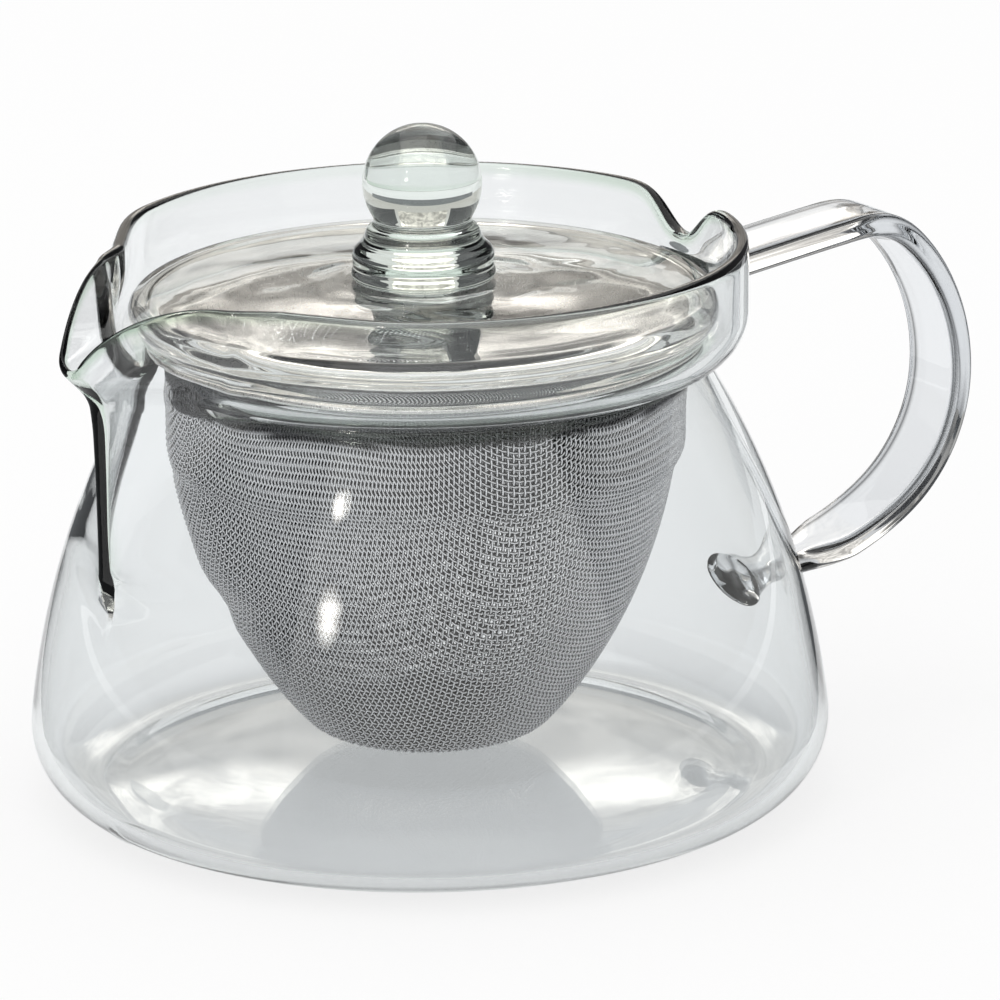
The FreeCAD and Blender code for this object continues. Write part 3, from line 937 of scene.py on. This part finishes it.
@dataclass
class Lid:
    """Shallow glass dish turned upside down with a solid knob. Millimetres and degrees."""

    foot: float = 75.9
    top: float = 85.4
    flat: float = 13.0
    radius: float = 48.0
    foot_radius: float = 45.6
    foot_lead: float = 0.6
    bead: float = 1.05
    bead_height: float = 1.0
    wall: float = 2.2
    edge_drop: float = 1.5
    shoulder: float = 3.0
    inner_round: float = 1.9
    ball: float = 9.7
    ball_height: float = 101.28
    stem: float = 7.6
    stem_foot: float = 11.2
    knob_gap: float = 0.02
    # rings of the stem: distance out, height above the plate, radius, first and last angle, points
    rings: tuple[tuple[float, float, float, float, float, int], ...] = (
        (10.9, 1.0, 1.0, -75.0, 55.0, 16), (11.9, 2.3, 0.6, 230.0, 150.0, 8),
        (9.4, 4.0, 2.2, -20.0, 52.0, 18), (11.0, 6.8, 1.2, 240.0, 165.0, 10),
        (8.2, 7.9, 1.2, -30.0, 60.0, 14),
    )
    waves: Waves = ((0.13, 3.0, 4.5, 0.0), (0.08, 5.0, -3.1, 0.8))
    wave_rise: Point = (14.0, 20.0)
    wave_fall: Point = (40.0, 45.0)
    around: int = 256
    knob_around: int = 160

    def plate_run(self) -> Array:
        """Plate from the middle of its underside, round the skirt and back to the middle of its top.

        Returns:
            Points of radius and height.
        """
        edge, inner = self.top - self.edge_drop, self.radius - self.wall
        under, low, turn = edge - self.wall, self.foot + self.foot_lead, self.inner_round
        ceiling, side = self.top - self.wall, self.radius - self.shoulder
        bead = (self.foot_radius - self.wall / 2.0, self.foot + self.bead_height)
        return eased(joined([
            run((0.0, ceiling), (self.flat, ceiling), 20),
            run((self.flat, ceiling), (inner - turn, under), 80),
            arc((inner - turn, under - turn), turn, 90.0, 0.0, 30),
            run((inner, under - turn), (self.foot_radius - self.wall, low), 30),
            arc(bead, self.bead, 200.0, 340.0, 30),
            run((self.foot_radius, low), (self.radius, edge - self.shoulder), 30),
            arc((side, edge - self.shoulder), self.shoulder, 0.0, 90.0, 40),
            run((side, edge), (self.flat, self.top), 80),
            run((self.flat, self.top), (0.0, self.top), 20),
        ]), 0.5, 260)

    def knob_run(self) -> Array:
        """Knob from the middle of its foot, up a flared stem with rings, round the ball to its top.

        Returns:
            Points of radius and height.
        """
        start = self.top + self.knob_gap
        neck = self.ball_height - math.sqrt(self.ball**2 - self.stem**2)
        open_turn = math.degrees(math.atan2(neck - self.ball_height, self.stem))
        return eased(joined([
            run((0.0, start), (self.stem_foot, start), 20),
            *(arc((out, start + up), radius, first, last, count)
              for out, up, radius, first, last, count in self.rings),
            run((self.stem + 0.4, neck - 0.5), (self.stem, neck), 6),
            arc((0.0, self.ball_height), self.ball, open_turn, 90.0, 120),
        ]), 0.7, 240)

    def build(self) -> None:
        """Makes and dresses the plate, with two slow waves between knob and skirt, and the knob."""
        line = self.plate_run()
        radius = line[1:-1, :1]
        wave = ripples(self.waves, full_turn(self.around)[None, :], radius)
        wave = wave * between(self.wave_rise, self.wave_fall, radius)
        plate, knob = turned(line, self.around, wave), turned(self.knob_run(), self.knob_around)
        settle(plate, "lid_dish", Body.LID, LID_GLASS.material(), "lid_plate")
        settle(knob, "lid_ball_knob", Body.LID, KNOB_GLASS.material(), "lid_knob")


@dataclass
class Strainer:
    """Cup of woven wire with a doubled hem, held by a steel hoop. Millimetres and degrees."""

    hem: float = 42.3
    hem_top: float = 74.3
    # painted shade: wires above shade_foot darken over shade_rise, up to shade, standing in for the
    # hem's top in shadow under the neck
    shade_foot: float = 68.3
    shade_rise: float = 0.6
    shade: float = 0.92
    hem_foot: float = 57.9
    cup_top: float = 54.9
    step: float = 1.7
    foot: float = 20.5
    foot_height: float = 12.0
    corner: float = 1.2
    cup_arc: float = 85.0
    pitch: float = 0.92
    wire: float = 0.23
    weave: float = 0.19
    # painted shade marks on the outer, one side, inner and other side of a wire
    sides: tuple[float, ...] = (0.0, 0.85, 1.0, 0.85)
    turn: float = -10.0
    lining_turn: float = 7.0
    lining_gap: float = 0.7
    newton_steps: int = 60
    newton_share: float = 0.7
    hoop_inset: float = 1.75
    strip: float = 0.35
    strip_lead: float = 0.2
    strip_bend: float = 0.3
    strip_shoulder: float = 0.8
    flange: float = 45.2
    flange_foot: float = 74.9
    flange_top: float = 75.7
    flange_round: float = 0.4
    hoop_depth: float = 8.0
    hoop_around: int = 240

    def side_run(self) -> Array:
        """Cup from the middle of its bottom up to the top of the hem, evenly stepped.

        Returns:
            Points of radius and height.
        """
        inset = self.wire * 2.0
        bottom, inner = self.foot_height - self.corner, self.foot - self.corner
        start, end, hem = (self.foot, self.foot_height), (self.hem - self.step, self.cup_top), self.hem
        line = joined([
            run((0.0, bottom), (inner, bottom), 100),
            run((inner, bottom), start, 10),
            bulge(start, end, self.cup_arc),
            run(end, (hem, self.hem_foot), 20),
            run((hem, self.hem_foot), (hem, self.hem_top), 100),
        ])
        line[:, 0] = np.maximum(line[:, 0] - inset * smooth_step(5.0, 20.0, line[:, 0]), 0.0)
        line[:, 1] = line[:, 1] + inset * (1.0 - smooth_step(15.0, 25.0, line[:, 0]))
        return eased(line, 0.8, 2000)

    def crossings(self, line: Array) -> tuple[Array, Array, Array, Array]:
        """Where the wires cross: a square cloth drawn into the cup, sheared between its two ways.

        The cloth's x and y at length s from the middle and angle f are s(k cos f + (1 - k) cos^3 f) and
        s(k sin f + (1 - k) sin^3 f), with k = R(s) / s, so that cells stay square along both ways.
        Newton steps find s and f of each crossing.

        Args:
            line: the cup's run.

        Returns:
            Length, angle, row number and column number of every crossing on one quarter of the cup.
        """
        length, radius = lengths(line), line[:, 0]
        slope = np.gradient(radius, length)
        steps = np.arange(1, (int(length[-1] / self.pitch) + 2) * 2, 2) * 0.5
        across, along = np.meshgrid(steps, steps, indexing="ij")
        x, y = across.ravel() * self.pitch, along.ravel() * self.pitch
        keep = np.hypot(x, y) < length[-1] * 1.02
        x, y = x[keep], y[keep]
        s, f = np.hypot(x, y), np.arctan2(y, x)
        for _ in range(self.newton_steps):
            r, d = np.interp(s, length, radius), np.interp(s, length, slope)
            c, n = np.cos(f), np.sin(f)
            gap_x = r * c + (s - r) * c**3 - x
            gap_y = r * n + (s - r) * n**3 - y
            xs, ys = d * c + (1.0 - d) * c**3, d * n + (1.0 - d) * n**3
            xf = -r * n - 3.0 * (s - r) * c * c * n
            yf = r * c + 3.0 * (s - r) * n * n * c
            det = xs * yf - xf * ys
            det = np.where(np.abs(det) < 1e-6, 1e-6, det)
            share = self.newton_share
            s = np.clip(s - share * (gap_x * yf - gap_y * xf) / det, 0.01, length[-1] * 1.4)
            f = np.clip(f - share * (gap_y * xs - gap_x * ys) / det, 0.0, math.pi / 2.0)
        inside = (s < length[-1]) & (np.hypot(gap_x, gap_y) < 0.05)
        rows, columns = (np.rint(way[inside] / self.pitch - 0.5).astype(int) for way in (x, y))
        return s[inside], f[inside], rows, columns

    def cloth(self) -> Net:
        """Spreads the crossings of one quarter over the whole cup.

        Returns:
            Grid of points, grid of outward normals and grid of whether the cup has that crossing.
        """
        line = self.side_run()
        s, f, rows, columns = self.crossings(line)
        length, way = lengths(line), headings(line)
        most = max(rows.max(), columns.max()) + 1
        points, normals = np.zeros((2, 2 * most, 2 * most, 3))
        there = np.zeros((2 * most, 2 * most), bool)
        radius, height = np.interp(s, length, line[:, 0]), np.interp(s, length, line[:, 1])
        out, up = np.interp(s, length, way[:, 1]), -np.interp(s, length, way[:, 0])
        for right in (1, -1):
            for back in (1, -1):
                angle = np.arctan2(back * np.sin(f), right * np.cos(f)) + math.radians(self.turn)
                i = most + (rows if right > 0 else -1 - rows)
                j = most + (columns if back > 0 else -1 - columns)
                points[i, j], normals[i, j] = spun(radius, height, angle), spun(out, up, angle)
                there[i, j] = True
        return points, normals, there

    def wires(self, skin: Skin, net: Net, over: float) -> None:
        """Adds wires along the net's second axis, each a square rod that goes over and under in turn.

        The rods are p + w (-1)^(i + j) n + r (sin a n + cos a b), b across the wire, both ends closed.

        Args:
            skin: what they are added to.
            net: crossings, outward normals and which crossings exist.
            over: +1 or -1, which way the first crossing goes.
        """
        points, normals, there = net
        i, j = np.indices(there.shape)
        sign = over * np.where((i + j) % 2 == 0, 1.0, -1.0)
        middle = points + normals * (self.weave * sign)[..., None]
        ahead, behind = np.zeros_like(there), np.zeros_like(there)
        ahead[:, :-1] = there[:, :-1] & there[:, 1:]
        behind[:, 1:] = ahead[:, :-1]
        after = np.where(ahead[..., None], np.roll(points, -1, axis=1), points)
        before = np.where(behind[..., None], np.roll(points, 1, axis=1), points)
        way = after - before
        way = way / np.maximum(np.linalg.norm(way, axis=-1, keepdims=True), 1e-9)
        side = np.cross(normals, way)
        used = there & (ahead | behind)
        angle = np.radians([90.0, 180.0, 270.0, 360.0])[:, None]
        ring = middle[:, :, None, :] + self.wire * (
            np.sin(angle) * normals[:, :, None, :] + np.cos(angle) * side[:, :, None, :])
        # painted shade: each rod darkened on its inner and side faces, by sides, as if shaded inside the
        # cup
        plain = np.array(self.sides)
        # painted shade band at the top of the hem, on cup and lining alike
        top = self.shade_foot + self.shade_rise
        shade = self.shade * smooth_step(self.shade_foot, top, points[used][:, 2:])
        number = np.zeros(there.shape, int)
        number[used] = skin.add_points(ring[used], inside=plain + (1.0 - plain) * shade)[:, 0]
        a, b = number[:, :-1][ahead[:, :-1]], number[:, 1:][ahead[:, :-1]]
        for k, n in ((0, 1), (1, 2), (2, 3), (3, 0)):
            skin.quads.append(np.stack([a + k, a + n, b + n, b + k], axis=1))
        first, last = number[used & ~behind], number[used & ~ahead]
        skin.quads.append(np.stack([first + 3, first + 2, first + 1, first], axis=1))
        skin.quads.append(np.stack([last, last + 1, last + 2, last + 3], axis=1))

    def lining(self, net: Net) -> Net:
        """Cloth folded over inside the hem: the hem's net drawn in by the gap and turned a little.

        Args:
            net: the cup's net.

        Returns:
            The lining's net.
        """
        points, normals, there = net
        turn = math.radians(self.lining_turn)
        spin = np.array([[math.cos(turn), math.sin(turn), 0.0], [-math.sin(turn), math.cos(turn), 0.0],
                         [0.0, 0.0, 1.0]])
        kept = there & (points[..., 2] > self.hem_foot - 0.5)
        return (points - normals * self.lining_gap) @ spin, normals @ spin, kept

    def hoop(self) -> Skin:
        """Rolled strip: a sleeve inside the hem and a flange over it, turned about the axis.

        Returns:
            The skin, a closed ring.
        """
        inner, low, high = self.hem - self.hoop_inset, self.flange_foot, self.flange_top
        outer, bead, bend = inner + self.strip, self.strip / 2.0, self.strip_bend
        foot, end = low - self.hoop_depth + self.strip_lead, self.flange - self.flange_round
        turn, top = self.flange_round, self.strip_shoulder
        line = joined([
            arc((outer - bead, foot), bead, 180.0, 360.0, 9),
            run((outer, foot), (outer, low - bend), 14),
            arc((outer + bend, low - bend), bend, 180.0, 90.0, 6),
            run((outer + bend, low), (end, low), 12),
            arc((end, low + turn), turn, -90.0, 90.0, 13),
            run((end, high), (inner + top, high), 10),
            arc((inner + top, high - top), top, 90.0, 180.0, 10),
            run((inner, high - top), (inner, foot), 14),
        ], True)
        ring = spun(line[:, :1], line[:, 1:], full_turn(self.hoop_around))
        skin = Skin()
        skin.add_sheet(skin.add_points(ring), True)
        return skin

    def build(self) -> None:
        """Makes and dresses both ways of the cloth, the hem's lining and the hoop."""
        steel = WIRE_STEEL.material()
        cup = self.cloth()
        lining = self.lining(cup)
        for name, net, ways in (("cloth_warp", cup, (1.0,)), ("cloth_weft", cup, (-1.0,)),
                                ("hem_lining", lining, (1.0, -1.0))):
            skin = Skin()
            for over in ways:
                turned_net = net if over > 0.0 else tuple(np.swapaxes(grid, 0, 1) for grid in net)
                self.wires(skin, turned_net, over)
            settle(skin, name, Body.STRAINER, steel, "strainer_mesh")
        finish = HOOP_STEEL.material()
        settle(self.hoop(), "steel_hoop", Body.STRAINER, finish, "strainer_rim")


@dataclass
class Studio:
    """Pale floor, soft light, cards that the glass picks up, and the camera. Metres and degrees."""

    sky_low: Colour = (0.62, 0.60, 0.57, 1.0)
    sky_span: Point = (0.05, 0.75)
    sky_strength: float = 0.95
    floor_half: float = 6.0
    floor_height: float = -0.0002
    floor_seen: float = 0.80
    floor_through: float = 0.56
    camera_place: Place = (-0.5932, -0.9493, 0.3836)
    lens: float = 257.9
    sensor: float = 36.0
    yaw: float = 0.61
    pitch: float = 16.70
    roll: float = -0.70
    handle_turn: float = 32.0
    aim_height: float = 0.05
    # heights on the back card and the share of its brightness that it has there
    bands: tuple[Point, ...] = ((0.26, 0.13), (0.58, 0.14), (0.73, 0.56), (0.86, 0.56), (1.05, 0.20))
    band_span: float = 2.0
    # corners of the strip at the right, right and back
    strip: tuple[Point, ...] = ((0.082, -0.10), (0.42, -0.10), (0.42, 0.45), (0.13, 0.45))
    strip_height: float = 0.0006
    # name, place, radius and strength of the round lamps
    glows: tuple[tuple[str, Place, float, float], ...] = (
        ("big_glow", (-1.14, -0.56, 0.51), 0.13, 36.0), ("small_glow", (-1.02, -0.45, 0.80), 0.07, 60.0),
    )
    glow_colour: Colour = (1.0, 0.97, 0.92, 1.0)
    glow_corners: int = 48

    def spot(self, right: float, back: float, up: float) -> Place:
        """Place that far right of the pot's axis, behind it and up, as the camera sees it."""
        c, s = math.cos(math.radians(self.handle_turn)), math.sin(math.radians(self.handle_turn))
        return (right * c + back * s, back * c - right * s, up)

    def upright(self, start: Point, end: Point, low: float, high: float) -> list[Place]:
        """Corners of a card that stands between two places, each right and back, and two heights."""
        corners = ((start, low), (end, low), (end, high), (start, high))
        return [self.spot(*place, height) for place, height in corners]

    def facing(self, place: Place) -> Matrix:
        """Matrix of something that stands at a place and looks at the pot."""
        aim = Vector((0.0, 0.0, self.aim_height)) - Vector(place)
        return Matrix.Translation(place) @ aim.to_track_quat("-Z", "Y").to_matrix().to_4x4()

    def camera(self) -> None:
        """Sets the camera at the photograph's fitted place, panned, tilted and rolled."""
        data = bpy.data.cameras.new("camera")
        data.lens, data.sensor_width = self.lens, self.sensor
        data.clip_start, data.clip_end = 0.01, 50.0
        turns = ((-self.yaw - self.handle_turn, "Z"), (90.0 - self.pitch, "X"), (self.roll, "Z"))
        pan, tilt, roll = (Matrix.Rotation(math.radians(angle), 4, axis) for angle, axis in turns)
        camera = placed("camera", data)
        camera.matrix_world = Matrix.Translation(self.camera_place) @ pan @ tilt @ roll
        bpy.context.scene.camera = camera

    def sheet(self, name: str, corners: list[Place], material: Material) -> bpy.types.Object:
        """Adds a flat stage sheet.

        Args:
            name: its name.
            corners: its corners in order.
            material: its finish.

        Returns:
            The sheet.
        """
        mesh = bpy.data.meshes.new(name)
        mesh.from_pydata(corners, [], [tuple(range(len(corners)))])
        mesh.materials.append(material)
        piece = placed(name, mesh)
        return piece

    def card(self, name: str, corners: list[Place], material: Material, through: bool = True) -> None:
        """Adds a card beside the picture, which only glass and steel show.

        Args:
            name: its name.
            corners: its corners in order.
            material: its finish.
            through: whether it shows through glass as well as in reflections.
        """
        piece = self.sheet(name, corners, material)
        piece.visible_camera = piece.visible_diffuse = piece.visible_shadow = False
        piece.visible_transmission = through

    def floor_material(self) -> Material:
        """Pale floor: white itself, a cool grey through the glass, and it takes the object's shadow.

        Returns:
            The material.
        """
        board = material_board("pale_floor")
        camera = board.ray("Camera")
        glass = board.larger(board.ray("Transmission"), board.ray("Glossy"))
        through, seen = board.product(glass, self.floor_through), board.product(camera, self.floor_seen)
        matt = board.add("BsdfDiffuse", (0.90, 0.90, 0.905, 1.0))
        white = board.add("Emission", board.mixed(camera, (0.97, 0.985, 1.0, 1.0), WHITE), 1.0)
        return board.finish(board.add("MixShader", board.larger(through, seen), matt, white))

    def card_material(self, name: str, colour: Colour, mirrored: float, through: float,
                      uneven: float = 0.0, bands: tuple[Point, ...] = ()) -> Material:
        """Card of one colour that shows more in reflections than through the glass, or less.

        Args:
            name: its name.
            colour: its colour.
            mirrored: its brightness in reflections.
            through: its brightness through glass.
            uneven: share by which its brightness wanders up and down.
            bands: heights and the share of its mirrored brightness that it has there.

        Returns:
            The material.
        """
        board = material_board(name)
        level = mirrored
        if bands:
            height = board.add("SeparateXYZ", board.add("TexCoord", out="Object"), out="Z")
            ramp = board.add("ValToRGB", board.add("MapRange", height, 0.0, self.band_span))
            ramp.node.color_ramp.interpolation = "EASE"
            stops = ramp.node.color_ramp.elements
            for number, (up, share) in enumerate(bands):
                stop = stops[number] if number < 2 else stops.new(up / self.band_span)
                stop.position, stop.color = up / self.band_span, (share, share, share, 1.0)
            level = board.product(ramp, mirrored)
        strength = board.add("MapRange", board.ray("Glossy"), 0.0, 1.0, through, level)
        clouds = board.noise(Scale=7.0, Detail=2.0, Distortion=1.2)
        wander = board.add("MapRange", clouds, 0.38, 0.62, 1.0 - uneven, 1.0 + uneven)
        return board.finish(board.add("Emission", colour, board.product(strength, wander)))

    def glow(self, name: str, place: Place, half: float, strength: float) -> None:
        """Adds a round lamp that fades to its edge: strength (1 - d)^2 with d from middle to edge.

        Args:
            name: its name.
            place: where it stands; it faces the pot.
            half: its radius.
            strength: brightness at the middle.
        """
        board = material_board(name)
        size = board.add("Mapping", Vector=board.add("TexCoord", out="Object"), Scale=(1.0 / half,) * 3)
        ball = board.add("TexGradient", size, out="Fac", gradient_type="QUADRATIC_SPHERE")
        finish = board.finish(board.add("Emission", self.glow_colour, board.product(ball, strength)))
        ring = spun(half, np.zeros(self.glow_corners), full_turn(self.glow_corners))
        lamp = self.sheet(name, ring.tolist(), finish)
        lamp.matrix_world = self.facing(place)
        lamp.visible_camera = lamp.visible_shadow = False

    def world(self) -> None:
        """White to the camera; to the object warm and dim at the horizon, cool and bright overhead."""
        world = bpy.data.worlds.new("studio_world")
        bpy.context.scene.world = world
        board = NodeBoard(world)
        height = board.add("SeparateXYZ", board.add("TexCoord", out="Generated"), out="Z")
        ramp = board.add("ValToRGB", height)
        low, high = ramp.node.color_ramp.elements
        low.position, high.position = self.sky_span
        low.color, high.color = self.sky_low, WHITE
        soft, white = board.add("Background", ramp, self.sky_strength), board.add("Background", WHITE)
        board.finish(board.add("MixShader", board.ray("Camera"), soft, white))

    def lamp(self, name: str, place: Place, size: Point, power: float) -> None:
        """Adds a soft rectangular lamp that looks at the pot.

        Args:
            name: its name.
            place: where it stands.
            size: width and height.
            power: watts.
        """
        data = bpy.data.lights.new(name, "AREA")
        data.shape, data.energy = "RECTANGLE", power
        data.size, data.size_y = size
        lamp = placed(name, data)
        lamp.matrix_world = self.facing(place)
        lamp.visible_camera = False

    def cards(self) -> None:
        """Sets a warm card and a dark line behind, and dark strips and standing shades at both sides."""
        warm = self.card_material("back_card", (1.0, 0.945, 0.87, 1.0), 5.0, 0.70, 0.35, self.bands)
        self.card("back_card", self.upright((-0.5, 1.6), (0.5, 1.6), 0.26, 1.7), warm)
        dark = self.card_material("dark_card", (0.20, 0.21, 0.22, 1.0), 1.0, 1.0)
        self.card("dark_line", self.upright((-1.6, 1.65), (1.6, 1.65), 0.0, 0.12), dark)
        shade = self.card_material("shade_card", (0.95, 0.95, 1.0, 1.0), 0.10, 0.20)
        for side, name, near, top in ((1.0, "right", -0.42, 0.62), (-1.0, "left", -0.70, 1.1)):
            strip = [self.spot(side * out, back, self.strip_height) for out, back in self.strip]
            self.card(f"{name}_strip", strip, dark, False)
            for part, low, high in (("foot", 0.0, 0.24), ("head", 0.24, top)):
                stand = self.upright((side * 0.62, near), (side * 0.54, 1.5), low, high)
                self.card(f"{name}_shade_{part}", stand, shade, part == "head")

    def build(self) -> None:
        """Sets up floor, cards, lights, world and camera."""
        half, low = self.floor_half, self.floor_height
        corners = [(-half, -half, low), (half, -half, low), (half, half, low), (-half, half, low)]
        self.sheet("floor", corners, self.floor_material())
        self.cards()
        self.world()
        self.lamp("top_light", (-0.3, 0.2, 1.7), (1.6, 1.2), 6.0)
        for glow in self.glows:
            self.glow(*glow)
        self.camera()
        bpy.context.scene.view_settings.view_transform = "Standard"


def main() -> None:
    """Builds the teapot's looks in order, then the studio."""
    logging.basicConfig(level=logging.INFO, format="%(name)s %(message)s")
    for maker in (Pot(), Handle(), Strainer(), Lid()):
        maker.build()
    Studio().build()


if __name__ == "__main__":
    main()
